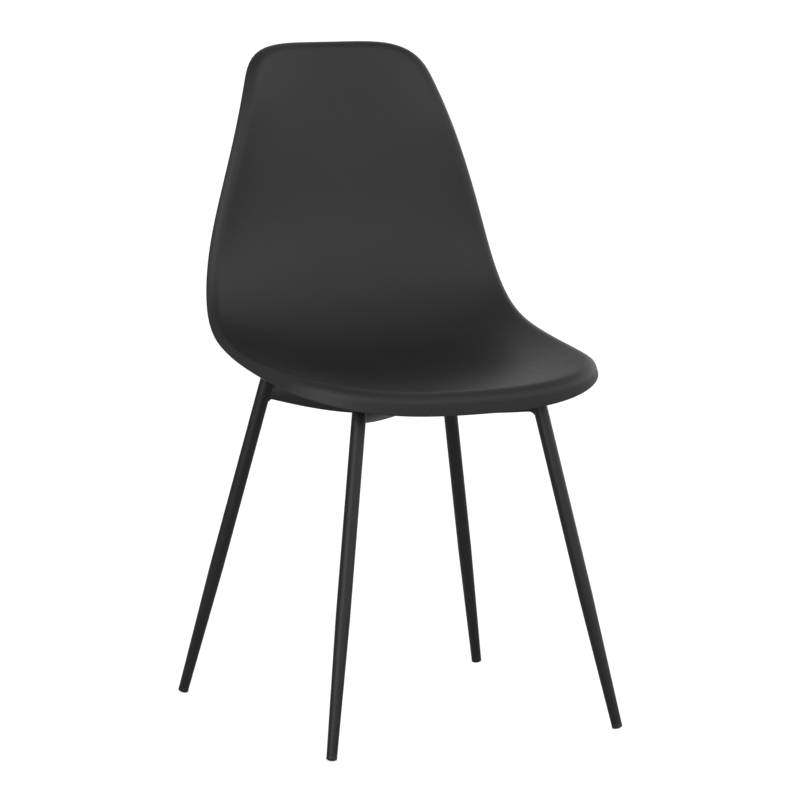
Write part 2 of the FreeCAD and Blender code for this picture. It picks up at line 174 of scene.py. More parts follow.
# Stage: the floor, and the directions in which the sky's light falls off
FLOOR_HALF_SIZE = 40
FLOOR_SHADE = 0.72
FLOOR_GLOW = 0.7
REAR_HEADING = (-0.42, 0.91, 0)
REAR_FALL = (0.3, 0.85)
OVERHEAD_FALL = (0.3, 0.97)
LAMP_PLACE = (-2.3, -1.9, 1.3)
LAMP_SIZE = 2.2
LAMP_AIM = (0, 0, 0.45)


def fixing_places():
    """Centres in plan of the four screws, from the solids of the pads."""
    places = {}
    for end, side in CORNERS:
        low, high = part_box(f"shell_pad_{end}_{side}")
        places[end, side] = (low + high) / 2
    return places


FIXINGS = fixing_places()


def foot_place(end, side):
    x, y = FEET[end]
    return Vector((x * SIDES[side], y, 0))


def joint_place(end, side):
    x, y = JOINTS[end]
    return Vector((x * SIDES[side], y, PLATE_TOP))


def leg_direction(end, side):
    return (joint_place(end, side) - foot_place(end, side)).normalized()


def across_to(end, side):
    """The corner that a cross plate reaches from this corner."""
    return "rear" if end == "front" else "front", "right" if side == "left" else "left"


def arm_direction(end, side):
    """Level direction of a cross plate from the crossing towards a leg."""
    return (joint_place(end, side) - joint_place(*across_to(end, side))).normalized()


def crossing():
    """Place where the cross plates' top edges cross."""
    along = arm_direction("front", "left")
    joint = joint_place("front", "left")
    return joint - along * (joint.x / along.x)


class ShellSizes(bpy.types.PropertyGroup):
    """Sizes and colour of the seat shell."""

    wall: bpy.props.FloatProperty(
        name="Wall", description="Thickness of the moulded wall",
        default=0.0045, min=0.002, max=0.008, unit="LENGTH",
    )
    colour: bpy.props.FloatVectorProperty(
        name="Colour", description="Colour of the plastic",
        default=(0.021, 0.021, 0.0205), min=0, max=1, subtype="COLOR",
    )
    grain_depth: bpy.props.FloatProperty(
        name="Grain depth", description="Depth of the fine grain moulded into the plastic",
        default=0.00002, min=0, max=0.0005, precision=6, unit="LENGTH",
    )


class FrameSizes(bpy.types.PropertyGroup):
    """Sizes and colour of the steel frame."""

    tube_diameter: bpy.props.FloatProperty(
        name="Tube diameter", description="Outside diameter of a leg above its taper",
        default=0.0178, unit="LENGTH",
    )
    foot_diameter: bpy.props.FloatProperty(
        name="Foot diameter", description="Outside diameter of a leg at its foot",
        default=0.0132, unit="LENGTH",
    )
    taper_length: bpy.props.FloatProperty(
        name="Taper length", description="Length of the tapered part of a leg",
        default=0.165, unit="LENGTH",
    )
    tube_wall: bpy.props.FloatProperty(
        name="Tube wall", description="Wall of the leg tubes",
        default=0.0015, unit="LENGTH",
    )
    glide_height: bpy.props.FloatProperty(
        name="Glide height", description="Length of the plastic glide below the tube",
        default=0.007, unit="LENGTH",
    )
    above_plate: bpy.props.FloatProperty(
        name="Above plate", description="Height of the tube ends above the cross plates",
        default=0.006, unit="LENGTH",
    )
    bead: bpy.props.FloatProperty(
        name="Weld bead", description="Width of the weld beads",
        default=0.0034, unit="LENGTH",
    )
    colour: bpy.props.FloatVectorProperty(
        name="Colour", description="Colour of the powder coat",
        default=(0.012, 0.012, 0.012), min=0, max=1, subtype="COLOR",
    )


class StageLook(bpy.types.PropertyGroup):
    """Light of the stage."""

    lamp_power: bpy.props.FloatProperty(
        name="Lamp power", description="Power of the large soft lamp in front",
        default=15, min=0, subtype="POWER",
    )
    front_light: bpy.props.FloatProperty(
        name="Front light", description="Strength of the light from all round in front and beside",
        default=1.25, min=0, max=2, subtype="FACTOR",
    )
    rear_light: bpy.props.FloatProperty(
        name="Rear light", description="Strength of the light from behind and overhead",
        default=0.25, min=0, max=1, subtype="FACTOR",
    )


# Curves and the shape of the shell


def pull_curve(points, share):
    """Places on the smooth curve drawn by pull points, at shares 0 to 1 of its run."""
    points = np.asarray(points, float)
    if points.ndim == 1:
        points = points[:, None]
    spans = len(points) - 3
    knots = np.concatenate([np.zeros(3), np.linspace(0, 1, spans + 1), np.ones(3)])
    share = np.clip(np.asarray(share, float), 0, 1)
    span = np.clip((share * spans).astype(int), 0, spans - 1) + 3
    parts = [points[span - 3 + number] for number in range(4)]
    for level in range(1, 4):
        for number in range(3, level - 1, -1):
            low = knots[span - 3 + number]
            high = knots[span + 1 + number - level]
            part = ((share - low) / (high - low))[..., None]
            parts[number] = (1 - part) * parts[number - 1] + part * parts[number]
    return parts[3]


def skin_points(along, across):
    """Points of the upper skin: along 0 at the top to 1 at the front, across -1 to 1."""
    height = np.asarray(CENTRE_RISE) + SEAT_HEIGHT
    edge_height = np.asarray(EDGE_RISE) + SEAT_HEIGHT
    centre = pull_curve(np.column_stack([CENTRE_DEPTH, height]), along)
    edge = pull_curve(np.column_stack([EDGE_HALF_WIDTH, EDGE_DEPTH, edge_height]), along)
    share = np.abs(across) ** pull_curve(HOLLOW_POWER, along)[..., 0]
    depth = centre[..., 0] + (edge[..., 1] - centre[..., 0]) * share
    rise = centre[..., 1] + (edge[..., 2] - centre[..., 1]) * share
    return np.stack([across * edge[..., 0], depth, rise], -1)


def unit(vectors):
    return vectors / np.linalg.norm(vectors, axis=-1, keepdims=True)


def skin_normals(along, across):
    """Unit normals of the upper skin, towards the sitter."""
    step = 0.0005
    below = np.minimum(along + step, 1)
    above = np.maximum(along - step, 0)
    down = skin_points(below, across) - skin_points(above, across)
    side = skin_points(along, across + step) - skin_points(along, across - step)
    return unit(np.cross(down, side))


def distances(points):
    """Distance run at each of a list of points."""
    return np.concatenate([[0], np.cumsum(np.linalg.norm(np.diff(points, axis=0), axis=1))])


def corner_places(length, power, from_front):
    """Places on one rounded corner of the outline, from the middle of the end outwards."""
    share = np.linspace(0, 1, 4001)
    run = distances(skin_points(share, np.ones_like(share)))
    angle = np.linspace(0, math.pi / 2, 400)
    across = np.sin(angle) ** (2 / power)
    distance = length * (1 - np.clip(np.cos(angle), 0, 1) ** (2 / power))
    if from_front:
        distance = run[-1] - distance
    return np.column_stack([np.interp(distance, run, share), across])


def spaced(places, count):
    """Places at equal distances over the skin along a list of places."""
    run = distances(skin_points(places[:, 0], places[:, 1]))
    targets = np.linspace(0, run[-1], count)
    return np.column_stack([np.interp(targets, run, places[:, n]) for n in range(2)])


def flipped(places):
    return places * np.array([1, -1])


def outline_places():
    """The shell's outline as four lists of places that run round it in one direction."""
    top = corner_places(TOP_CORNER_LENGTH, TOP_CORNER_POWER, False)
    front = corner_places(FRONT_CORNER_LENGTH, FRONT_CORNER_POWER, True)
    half = len(top) // 2
    edge = np.linspace(top[-1, 0], front[-1, 0], 400)[1:-1]
    straight = np.column_stack([edge, np.ones_like(edge)])
    over_top = np.concatenate([flipped(top[half:0:-1]), top[: half + 1]])
    over_front = np.concatenate([front[half:0:-1], flipped(front[: half + 1])])
    down_right = np.concatenate([top[half:], straight, front[: half - 1 : -1]])
    right = spaced(down_right, PANEL_ROWS)
    return [
        spaced(over_top, PANEL_COLUMNS),
        right,
        spaced(over_front, PANEL_COLUMNS),
        flipped(right)[::-1],
    ]


def panel_places():
    """The centre panel's four edges, in step with the outline's four pieces."""
    start, end = PANEL_SPAN
    across = np.linspace(-PANEL_HALF_WIDTH, PANEL_HALF_WIDTH, PANEL_COLUMNS)
    along = np.linspace(start, end, PANEL_ROWS)
    return [
        np.column_stack([np.full_like(across, start), across]),
        np.column_stack([along, np.full_like(along, PANEL_HALF_WIDTH)]),
        np.column_stack([np.full_like(across, end), across[::-1]]),
        np.column_stack([along[::-1], np.full_like(along, -PANEL_HALF_WIDTH)]),
    ]


def closed_loop(pieces):
    """One loop of places from four pieces that share their end places."""
    return np.concatenate([piece[:-1] for piece in pieces])


def rim_profile(sizes, depth):
    """Rolled rim at a depth below the skin, as (up, out) offsets from the outline."""
    radius, turn, skirt = sizes[:, 0], np.radians(sizes[:, 1]), sizes[:, 2]
    rows = []
    for share in np.linspace(0, 1, ROLL_ROWS)[1:]:
        reach = radius - depth
        rows.append((reach * np.cos(turn * share) - radius, reach * np.sin(turn * share)))
    last_up, last_out = rows[-1]
    for share in np.linspace(0, 1, SKIRT_ROWS)[1:]:
        run = (skirt - RIM_EDGE_ROUNDING) * share
        rows.append((last_up - np.sin(turn) * run, last_out + np.cos(turn) * run))
    return rows


def shell_layers(wall):
    """Loops of points from the panel's edge over the rim and back under to the panel's edge."""
    outer = closed_loop(outline_places())
    inner = closed_loop(panel_places())
    points = skin_points(outer[:, 0], outer[:, 1])
    normals = skin_normals(outer[:, 0], outer[:, 1])
    tangents = unit(np.roll(points, -1, axis=0) - np.roll(points, 1, axis=0))
    outward = unit(np.cross(normals, tangents))
    centre = skin_points(np.array([0.5]), np.array([0.0]))
    if np.sum(outward * (points - centre)) < 0:
        outward = -outward
    sizes = pull_curve(np.column_stack([RIM_RADIUS, RIM_TURN, RIM_SKIRT]), outer[:, 0])

    def band(depth):
        loops = []
        for share in np.linspace(0, 1, BAND_ROWS):
            places = inner + (outer - inner) * share
            skin = skin_points(places[:, 0], places[:, 1])
            loops.append(skin - skin_normals(places[:, 0], places[:, 1]) * depth)
        return loops

    def rim(depth):
        offsets = rim_profile(sizes, depth)
        return [points + normals * up[:, None] + outward * out[:, None] for up, out in offsets]

    top = band(0) + rim(0)
    under = band(wall) + rim(wall)
    turn = np.radians(sizes[:, 1])[:, None]
    down = outward * np.cos(turn) - normals * np.sin(turn)
    inward = unit(under[-1] - top[-1])
    outer_corner = []
    inner_corner = []
    for angle in np.linspace(0, math.pi / 2, CORNER_ROWS)[1:]:
        sunk = inward * RIM_EDGE_ROUNDING * (1 - math.cos(angle))
        low = down * RIM_EDGE_ROUNDING * math.sin(angle)
        outer_corner.append(top[-1] + sunk + low)
        inner_corner.append(under[-1] - sunk + low)
    return top + outer_corner + inner_corner[::-1] + under[::-1]


def panel_grid(depth):
    along, across = np.meshgrid(
        np.linspace(*PANEL_SPAN, PANEL_ROWS),
        np.linspace(-PANEL_HALF_WIDTH, PANEL_HALF_WIDTH, PANEL_COLUMNS),
        indexing="ij",
    )
    return skin_points(along, across) - skin_normals(along, across) * depth


# Mesh helpers


def grid_faces(rows, columns, first, closed):
    """Quads between rows of points that follow each other in a list."""
    faces = []
    last = columns if closed else columns - 1
    for row in range(rows - 1):
        for column in range(last):
            after = (column + 1) % columns
            start = first + row * columns
            next_row = start + columns
            faces.append((start + column, start + after, next_row + after, next_row + column))
    return faces


def closed_mesh(name, points, faces):
    """Mesh from points and faces, merged, with its faces pointing outwards."""
    mesh = bpy.data.meshes.new(name)
    mesh.from_pydata([tuple(point) for point in points], [], faces)
    shape = bmesh.new()
    shape.from_mesh(mesh)
    bmesh.ops.remove_doubles(shape, verts=shape.verts, dist=1e-7)
    bmesh.ops.recalc_face_normals(shape, faces=shape.faces)
    shape.to_mesh(mesh)
    shape.free()
    return mesh


def set_out(name, data):
    """Object of the scene with a mesh, lamp or camera in it."""
    item = bpy.data.objects.new(name, data)
    bpy.context.scene.collection.objects.link(item)
    return item


def add_piece(name, mesh, finish, *nodes, smooth_angle=180):
    """Finished piece tied to the frame, which hides the solids that it stands for."""
    mesh.shade_smooth()
    if smooth_angle < 180:
        mesh.set_sharp_from_angle(angle=math.radians(smooth_angle))
    mesh.materials.clear()
    mesh.materials.append(finishes()[finish])
    piece = set_out(name, mesh)
    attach(piece, "root")
    if nodes:
        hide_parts(*nodes)


def rounded(corners, radius, closed):
    """Corner list of a (radius, height) outline with its corners rounded."""
    count = len(corners)
    points = []
    for number, corner in enumerate(corners):
        here = Vector(corner)
        if not closed and number in (0, count - 1):
            points.append(tuple(here))
            continue
        before = Vector(corners[number - 1]) - here
        after = Vector(corners[(number + 1) % count]) - here
        reach = min(radius, before.length * 0.45, after.length * 0.45)
        start = here + before.normalized() * reach
        end = here + after.normalized() * reach
        for step in range(5):
            share = step / 4
            low = start.lerp(here, share)
            high = here.lerp(end, share)
            points.append(tuple(low.lerp(high, share)))
    return points


# Node trees


def add_node(tree, kind, inputs=None, **settings):
    """Node with its settings, and with a value or a link for each named input."""
    node = tree.nodes.new(kind)
    for key, value in settings.items():
        setattr(node, key, value)
    for key, value in (inputs or {}).items():
        if isinstance(value, bpy.types.NodeSocket):
            tree.links.new(value, node.inputs[key])
        else:
            node.inputs[key].default_value = value
    return node


class Tree:
    """A node group in the making, with its named inputs and outputs."""

    def __init__(self, name, kind, inputs, outputs):
        self.group = bpy.data.node_groups.new(name, kind)
        for way, sockets in (("INPUT", inputs), ("OUTPUT", outputs)):
            for label, socket in sockets.items():
                self.group.interface.new_socket(
                    label, in_out=way, socket_type=f"NodeSocket{socket}"
                )
        self.given = self.add("NodeGroupInput")

    def add(self, kind, inputs=None, **settings):
        """Outputs of a new node."""
        return add_node(self.group, kind, inputs, **settings).outputs


def shape_tree(name, inputs):
    sockets = {"Geometry": "Geometry", **inputs, "Finish": "Material"}
    return Tree(name, "GeometryNodeTree", sockets, {"Geometry": "Geometry"})


def painted(tree, geometry):
    """Ends a shape's tree in Realize Instances and Set Material."""
    real = tree.add("GeometryNodeRealizeInstances", {"Geometry": geometry})
    smooth = tree.add("GeometryNodeSetShadeSmooth", {"Geometry": real[0]})
    inputs = {"Geometry": smooth[0], "Material": tree.given["Finish"]}
    tree.add("NodeGroupOutput", {0: tree.add("GeometryNodeSetMaterial", inputs)[0]})
    return tree.group


def turned_part_tree():
    """Turns an outline about an axis, and lays the axis from a base in a direction."""
    inputs = {"Guide Radius": "Float", "Around": "Int", "Base": "Vector", "Direction": "Vector"}
    tree = shape_tree("Turned part", inputs)
    given = tree.given
    outline = tree.add("GeometryNodeMeshToCurve", {"Mesh": given["Geometry"]})
    circle = {"Resolution": given["Around"], "Radius": given["Guide Radius"]}
    guide = tree.add("GeometryNodeCurvePrimitiveCircle", circle)
    curves = {"Curve": guide[0], "Profile Curve": outline[0]}
    turned = tree.add("GeometryNodeCurveToMesh", curves)
    closed = tree.add("GeometryNodeMergeByDistance", {"Geometry": turned[0], "Distance": 1e-6})
    toward = {"Vector": given["Direction"]}
    lean = tree.add("FunctionNodeAlignRotationToVector", toward, axis="Z")
    place = {"Geometry": closed[0], "Translation": given["Base"], "Rotation": lean[0]}
    return painted(tree, tree.add("GeometryNodeTransform", place)[0])


def four_fixings_tree():
    """Sets one part at four places that mirror about the chair's middle plane."""
    tree = shape_tree("Four fixings", {"Front Place": "Vector", "Front To Rear": "Vector"})
    given = tree.given
    line = {"Count": 2, "Start Location": given["Front Place"], "Offset": given["Front To Rear"]}
    right = tree.add("GeometryNodeMeshLine", line)
    left = tree.add("GeometryNodeTransform", {"Geometry": right[0], "Scale": (-1, 1, 1)})
    places = add_node(tree.group, "GeometryNodeJoinGeometry")
    tree.group.links.new(right[0], places.inputs[0])
    tree.group.links.new(left[0], places.inputs[0])
    parts = {"Points": places.outputs[0], "Instance": given["Geometry"]}
    return painted(tree, tree.add("GeometryNodeInstanceOnPoints", parts)[0])


def weld_tree():
    """Lays overlapping beads of weld along each line of the input."""
    tree = shape_tree("Weld beads", {"Width": "Float", "Pitch": "Float", "Seed": "Int"})
    given = tree.given
    lines = tree.add("GeometryNodeMeshToCurve", {"Mesh": given["Geometry"]})
    steps = {"Curve": lines[0], "Length": given["Pitch"]}
    spots = tree.add("GeometryNodeResampleCurve", steps, mode="LENGTH")
    bead = tree.add("GeometryNodeMeshUVSphere", {"Segments": 8, "Rings": 5, "Radius": 0.5})
    spread = {2: BEAD_SIZES[0], 3: BEAD_SIZES[1], "Seed": given["Seed"]}
    uneven = tree.add("FunctionNodeRandomValue", spread, data_type="FLOAT")
    factors = {0: given["Width"], 1: uneven[1]}
    size = tree.add("ShaderNodeMath", factors, operation="MULTIPLY")
    beads = {"Points": spots[0], "Instance": bead[0], "Scale": size[0]}
    return painted(tree, tree.add("GeometryNodeInstanceOnPoints", beads)[0])


def set_input(modifier, name, value):
    for item in modifier.node_group.interface.items_tree:
        if item.item_type == "SOCKET" and item.in_out == "INPUT" and item.name == name:
            modifier[item.identifier] = value
            return
    raise ValueError(f"the tree has no input {name}")


def grown(name, mesh, tree, inputs):
    """Plain mesh that a node tree makes from a mesh."""
    source = set_out(name, mesh)
    modifier = source.modifiers.new(tree.name, "NODES")
    modifier.node_group = tree
    for key, value in inputs.items():
        set_input(modifier, key, value)
    bpy.context.view_layer.update()
    graph = bpy.context.evaluated_depsgraph_get()
    made = bpy.data.meshes.new_from_object(source.evaluated_get(graph))
    source.modifiers.clear()
    bpy.data.objects.remove(source)
    made.name = name
    return made


def outline_mesh(corners, closed):
    """Edges of a (radius, height) outline, laid out as the turned part tree reads them."""
    area = 0
    for here, after in zip(corners, corners[1:] + corners[:1]):
        area += here[0] * after[1] - after[0] * here[1]
    ordered = corners if area < 0 else corners[::-1]
    points = [(radius - GUIDE_RADIUS, -height, 0) for radius, height in ordered]
    edges = [(number, number + 1) for number in range(len(points) - 1)]
    if closed:
        edges.append((len(points) - 1, 0))
    mesh = bpy.data.meshes.new("outline")
    mesh.from_pydata(points, edges, [])
    return mesh


def turned_mesh(name, corners, closed, rounding, base, direction, finish, around=FINE_SIDES):
    """Mesh of an outline turned about an axis in space."""
    outline = outline_mesh(rounded(corners, rounding, closed), closed)
    inputs = {
        "Guide Radius": GUIDE_RADIUS,
        "Around": around,
        "Base": base,
        "Direction": direction,
        "Finish": finishes()[finish],
    }
    return grown(name, outline, trees()["turned"], inputs)


def fixings_mesh(name, mesh, height, finish):
    """Mesh of a part set at the four fixings, at a height."""
    front = FIXINGS["front", "right"]
    rear = FIXINGS["rear", "right"]
    inputs = {
        "Front Place": (front.x, front.y, height),
        "Front To Rear": (rear.x - front.x, rear.y - front.y, 0),
        "Finish": finishes()[finish],
    }
    return grown(name, mesh, trees()["fixings"], inputs)


@functools.cache
def trees():
    """The geometry node trees, made once."""
    return {
        "turned": turned_part_tree(),
        "fixings": four_fixings_tree(),
        "weld": weld_tree(),
    }


# Materials


def pattern_tree(name, inputs, outputs):
    """Shader node group whose inputs and outputs are all numbers."""
    inputs = dict.fromkeys(inputs, "Float")
    return Tree(name, "ShaderNodeTree", inputs, dict.fromkeys(outputs, "Float"))


def noise(tree, scale, detail, roughness):
    place = tree.add("ShaderNodeTexCoord")["Object"]
    inputs = {"Vector": place, "Scale": scale, "Detail": detail, "Roughness": roughness}
    return tree.add("ShaderNodeTexNoise", inputs)["Fac"]


def grain_group():
    """Fine grain of a moulded or sprayed surface, with slow unevenness over it."""
    outputs = ("Grain", "Slow", "Mottle")
    tree = pattern_tree("Surface grain", ("Grain Scale", "Slow Scale"), outputs)
    fine = noise(tree, tree.given["Grain Scale"], 3, 0.6)
    slow = noise(tree, tree.given["Slow Scale"], 2, 0.5)
    mottle = noise(tree, 90, 5, 0.7)
    tree.add("NodeGroupOutput", {"Grain": fine, "Slow": slow, "Mottle": mottle})
    return tree.group


def wear_group():
    """Mask of the edges that hands and floors rub, broken up by noise."""
    tree = pattern_tree("Edge wear", ("Start", "End", "Break Up"), ("Mask",))
    given = tree.given
    edge = tree.add("ShaderNodeNewGeometry")["Pointiness"]
    spread = {"Value": edge, "From Min": given["Start"], "From Max": given["End"]}
    sharp = tree.add("ShaderNodeMapRange", spread)
    factors = {0: sharp[0], 1: noise(tree, given["Break Up"], 4, 0.5)}
    broken = tree.add("ShaderNodeMath", factors, operation="MULTIPLY")
    tree.add("NodeGroupOutput", {"Mask": broken[0]})
    return tree.group


@functools.cache
def groups():
    """The shader node groups, made once."""
    return {"grain": grain_group(), "wear": wear_group()}


def times(colour, factor):
    return tuple(min(part * factor, 1) for part in colour[:3]) + (1,)


def surface(name, colour, metallic, specular, scales, tones, sheen, depth, worn=None):
    """Material with a fine grain, uneven tone and sheen, and rubbed edges if worn says so.

    scales are those of the grain and of its slow changes. tones and sheen name the
    pattern that they follow and the lowest and highest factor or roughness. worn is
    where the rubbed edges start and end, how finely they break up and their factor.
    """
    material = bpy.data.materials.new(name)
    material.use_nodes = True
    tree = material.node_tree
    shader = tree.nodes["Principled BSDF"].inputs
    shader["Specular IOR Level"].default_value = specular
    shader["Metallic"].default_value = metallic

    def add(kind, inputs, **settings):
        return add_node(tree, kind, inputs, **settings).outputs

    def ranged(value, low, high):
        spread = {"Value": value, "From Min": 0.3, "From Max": 0.7, "To Min": low, "To Max": high}
        return add("ShaderNodeMapRange", spread)[0]

    def mixed(mask, base, other):
        return add("ShaderNodeMix", {"Factor": mask, 6: base, 7: other}, data_type="RGBA")[2]

    inputs = {"Grain Scale": scales[0], "Slow Scale": scales[1]}
    grain = add("ShaderNodeGroup", inputs, node_tree=groups()["grain"])
    pattern, low, high = tones
    tone = mixed(ranged(grain[pattern], 0, 1), times(colour, low), times(colour, high))
    if worn:
        start, end, break_up, factor = worn
        inputs = {"Start": start, "End": end, "Break Up": break_up}
        mask = add("ShaderNodeGroup", inputs, node_tree=groups()["wear"])["Mask"]
        tone = mixed(mask, tone, times(colour, factor))
    bump = add("ShaderNodeBump", {"Height": grain["Grain"], "Distance": depth})
    pattern, low, high = sheen
    tree.links.new(tone, shader["Base Color"])
    tree.links.new(ranged(grain[pattern], low, high), shader["Roughness"])
    tree.links.new(bump[0], shader["Normal"])
    return material


def moulded_plastic(name, colour, depth, roughness):
    sheen = ("Mottle", roughness - 0.025, roughness + 0.025)
    tones = ("Slow", 0.94, 1.06)
    worn = (0.52, 0.62, 180, 1.5)
    return surface(name, colour, 0, 0.4, (1700, 9), tones, sheen, depth, worn)


def powder_coat(name, colour):
    tones = ("Slow", 0.9, 1.1)
    sheen = ("Mottle", 0.27, 0.34)
    worn = (0.55, 0.7, 300, 2.2)
    return surface(name, colour, 0, 0.34, (620, 20), tones, sheen, 0.00003, worn)


def bare_metal(name, colour, roughness):
    tones = ("Mottle", 0.85, 1)
    sheen = ("Slow", roughness - 0.06, roughness + 0.08)
    return surface(name, colour, 1, 0.5, (2600, 60), tones, sheen, 0.000008)


def soft_rubber(name, colour):
    tones = ("Mottle", 0.8, 1.3)
    sheen = ("Mottle", 0.68, 0.82)
    return surface(name, colour, 0, 0.3, (1200, 40), tones, sheen, 0.00004)


@functools.cache
def finishes():
    """The chair's materials, made once."""
    shell = bpy.context.scene.chair_shell
    metal = bpy.context.scene.chair_frame
    return {
        "shell": moulded_plastic("Shell plastic", shell.colour, shell.grain_depth, 0.46),
        "frame": powder_coat("Powder coat", metal.colour),
        "glide": moulded_plastic("Glide plastic", (0.014, 0.014, 0.014), 0.00002, 0.4),
        "rubber": soft_rubber("Pad rubber", (0.018, 0.018, 0.018)),
        "brass": bare_metal("Turned brass", (0.72, 0.52, 0.22), 0.3),
        "zinc": bare_metal("Zinc plating", (0.62, 0.63, 0.64), 0.28),
    }


# Pieces of the chair


class CHAIR_OT_shell(bpy.types.Operator):
    """Builds the seat shell with its rolled rim and the screw bosses under it"""

    bl_idname = "chair.shell"
    bl_label = "Seat shell"

    def execute(self, context):
        sizes = context.scene.chair_shell
        loops = shell_layers(sizes.wall)
        points = list(np.concatenate(loops))
        faces = grid_faces(len(loops), len(loops[0]), 0, True)
        for depth in (0, sizes.wall):
            faces += grid_faces(PANEL_ROWS, PANEL_COLUMNS, len(points), False)
            points += list(panel_grid(depth).reshape(-1, 3))
        for corner in CORNERS:
            rings = boss_rings(FIXINGS[corner], sizes.wall)
            count = len(rings[0])
            faces += grid_faces(len(rings) + 1, count, len(points), True)
            points += list(np.concatenate(rings + rings[:1]))
        mesh = closed_mesh("shell_moulding", points, faces)
        add_piece("shell_moulding", mesh, "shell", "seat_shell")
        return {"FINISHED"}


def boss_rings(place, wall, around=PLAIN_SIDES):
    """Rings of a screw boss, from its bore in the wall, down its side and back to the bore."""
    angles = np.linspace(0, 2 * math.pi, around, endpoint=False)
    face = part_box("shell_pad_front_left")[1].z
    flare = BOSS_FLARE

    def ring(radius, low, from_wall):
        x = place.x + radius * np.cos(angles)
        y = place.y + radius * np.sin(angles)
        level = seat_heights(x, y) - wall if from_wall else np.full_like(x, face)
        return np.column_stack([x, y, level + low])

    rings = [ring(BOSS_BORE, wall * 0.4, True), ring(BOSS_RADIUS + flare, wall * 0.2, True)]
    for angle in np.linspace(0, math.pi / 2, 6):
        radius = BOSS_RADIUS + flare * (1 - math.sin(angle))
        rings.append(ring(radius, -flare * (1 - math.cos(angle)), True))
    for angle in np.linspace(0, math.pi / 2, 4):
        radius = BOSS_RADIUS - BOSS_ROUNDING * (1 - math.cos(angle))
        rings.append(ring(radius, BOSS_ROUNDING * (1 - math.sin(angle)), False))
    rings.append(ring(BOSS_BORE + BOSS_ROUNDING, 0, False))
    rings.append(ring(BOSS_BORE, BOSS_ROUNDING, False))
    return rings


def seat_heights(x, y):
    """Heights of the seat's upper skin at places in plan."""
    above = np.full_like(x, 0.5)
    below = np.ones_like(x)
    for _ in range(30):
        along = (above + below) / 2
        half_width = pull_curve(EDGE_HALF_WIDTH, along)[..., 0]
        points = skin_points(along, x / half_width)
        behind = points[..., 1] > y
        above = np.where(behind, along, above)
        below = np.where(behind, below, along)
    return points[..., 2]


class CHAIR_OT_legs(bpy.types.Operator):
    """Builds the four tapered leg tubes"""

    bl_idname = "chair.legs"
    bl_label = "Leg tubes"

    def execute(self, context):
        sizes = context.scene.chair_frame
        radius = sizes.tube_diameter / 2
        foot_radius = sizes.foot_diameter / 2
        low = sizes.glide_height
        taper = low + sizes.taper_length
        for end, side in CORNERS:
            direction = leg_direction(end, side)
            top = (PLATE_TOP + sizes.above_plate) / direction.z
            corners = [
                (foot_radius, low),
                (radius, taper),
                (radius, top),
                (radius - sizes.tube_wall, top),
                (radius - sizes.tube_wall, taper),
                (foot_radius - sizes.tube_wall, low),
            ]
            name = f"tube_{end}_{side}"
            base = foot_place(end, side)
            mesh = turned_mesh(name, corners, True, TUBE_ROUNDING, base, direction, "frame")
            add_piece(name, mesh, "frame", f"leg_{end}_{side}", smooth_angle=TURNED_ANGLE)
        return {"FINISHED"}


class CHAIR_OT_leg_ends(bpy.types.Operator):
    """Builds the plastic caps at the tops of the legs and the glides at their feet"""

    bl_idname = "chair.leg_ends"
    bl_label = "Caps and glides"

    def execute(self, context):
        sizes = context.scene.chair_frame
        for end, side in CORNERS:
            direction = leg_direction(end, side)
            base = foot_place(end, side)
            top = (PLATE_TOP + sizes.above_plate) / direction.z
            radius = sizes.tube_diameter / 2
            stem = radius - sizes.tube_wall - PLUG_CLEARANCE
            corners = [
                (0, top - CAP_STEM_LENGTH),
                (stem, top - CAP_STEM_LENGTH),
                (stem, top),
                (radius, top),
                (radius, top + CAP_FLANGE_HEIGHT),
                (0, top + CAP_FLANGE_HEIGHT),
            ]
            name = f"cap_{end}_{side}"
            mesh = turned_mesh(
                name, corners, False, CAP_ROUNDING, base, direction, "glide", PLAIN_SIDES
            )
            add_piece(name, mesh, "glide", f"leg_cap_{end}_{side}", smooth_angle=TURNED_ANGLE)
            name = f"glide_foot_{end}_{side}"
            corners = glide_corners(sizes, direction.z)
            mesh = turned_mesh(name, corners, False, GLIDE_ROUNDING, base, direction, "glide")
            cut_at_floor(mesh)
            add_piece(name, mesh, "glide", f"glide_{end}_{side}", smooth_angle=TURNED_ANGLE)
        return {"FINISHED"}


def glide_corners(sizes, upright):
    """Side of a glide, from the middle of its domed foot to the top of its stem."""
    radius = sizes.foot_diameter / 2
    stem = radius - sizes.tube_wall - PLUG_CLEARANCE
    centre = (GLIDE_DOME_RADIUS - GLIDE_FLAT_CUT) / upright
    corners = []
    for share in np.linspace(0, 1, 9):
        reach = radius * share
        corners.append((reach, centre - math.sqrt(GLIDE_DOME_RADIUS**2 - reach**2)))
    seam = sizes.glide_height
    corners += [(radius, seam), (stem, seam)]
    corners += [(stem, seam + GLIDE_STEM_LENGTH), (0, seam + GLIDE_STEM_LENGTH)]
    return corners


def cut_at_floor(mesh):
    """Cuts a mesh flat where it reaches below the floor."""
    shape = bmesh.new()
    shape.from_mesh(mesh)
    everything = shape.verts[:] + shape.edges[:] + shape.faces[:]
    cut = bmesh.ops.bisect_plane(
        shape, geom=everything, plane_co=(0, 0, 0), plane_no=(0, 0, 1), clear_inner=True
    )
    rim = [item for item in cut["geom_cut"] if isinstance(item, bmesh.types.BMEdge)]
    bmesh.ops.contextual_create(shape, geom=rim)
    bmesh.ops.recalc_face_normals(shape, faces=shape.faces)
    shape.to_mesh(mesh)
    shape.free()


